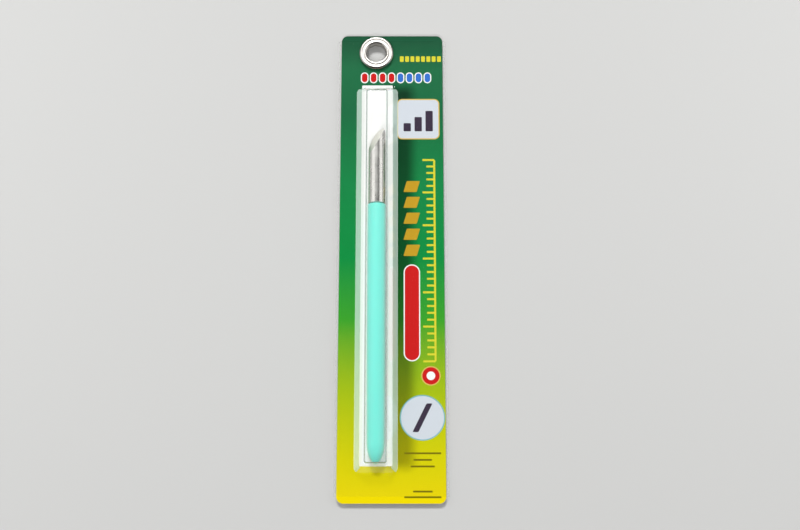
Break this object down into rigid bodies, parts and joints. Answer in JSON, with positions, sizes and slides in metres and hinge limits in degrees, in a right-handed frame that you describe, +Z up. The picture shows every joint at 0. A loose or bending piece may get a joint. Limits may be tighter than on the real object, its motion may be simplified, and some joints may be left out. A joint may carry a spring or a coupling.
{
  "type": "carded hand scraper",
  "caption": "Pen-sized scraper with a round bar ground to a slanted hollow face, lying in the clear dome of a slide blister on a printed hanging card.",
  "frame": {"origin": "under the middle of the pack, on the surface that it lies on", "axes": "the pack lies on its back: +X to the right as one looks at its front, +Y from the handle's nose to the hanging hole, +Z up out of its front"},
  "size_m": [0.05, 0.2156, 0.012],
  "materials": {
    "card": "coated board, printed dark green at the top, fading to yellow at the bottom, plain pale grey behind",
    "clear_plastic": "clear, glossy",
    "nickel": "bright nickel plate",
    "steel": "polished round bar with fine marks round it, and a ground face with fine marks across it",
    "handle_plastic": "smooth turquoise, satin sheen"
  },
  "bodies": {
    "pack": {"backing_card": "card", "slide_blister": "clear_plastic", "eyelet": "nickel", "eyelet_washer": "nickel"},
    "scraper": {"blade": "steel", "handle_grip": "handle_plastic"}
  },
  "joints": [
    {"name": "tool_slide", "type": "slide", "parent": "pack", "child": "scraper", "axis": [0, 1, 0], "range_m": [-0.0015, 0.0186]}
  ]
}
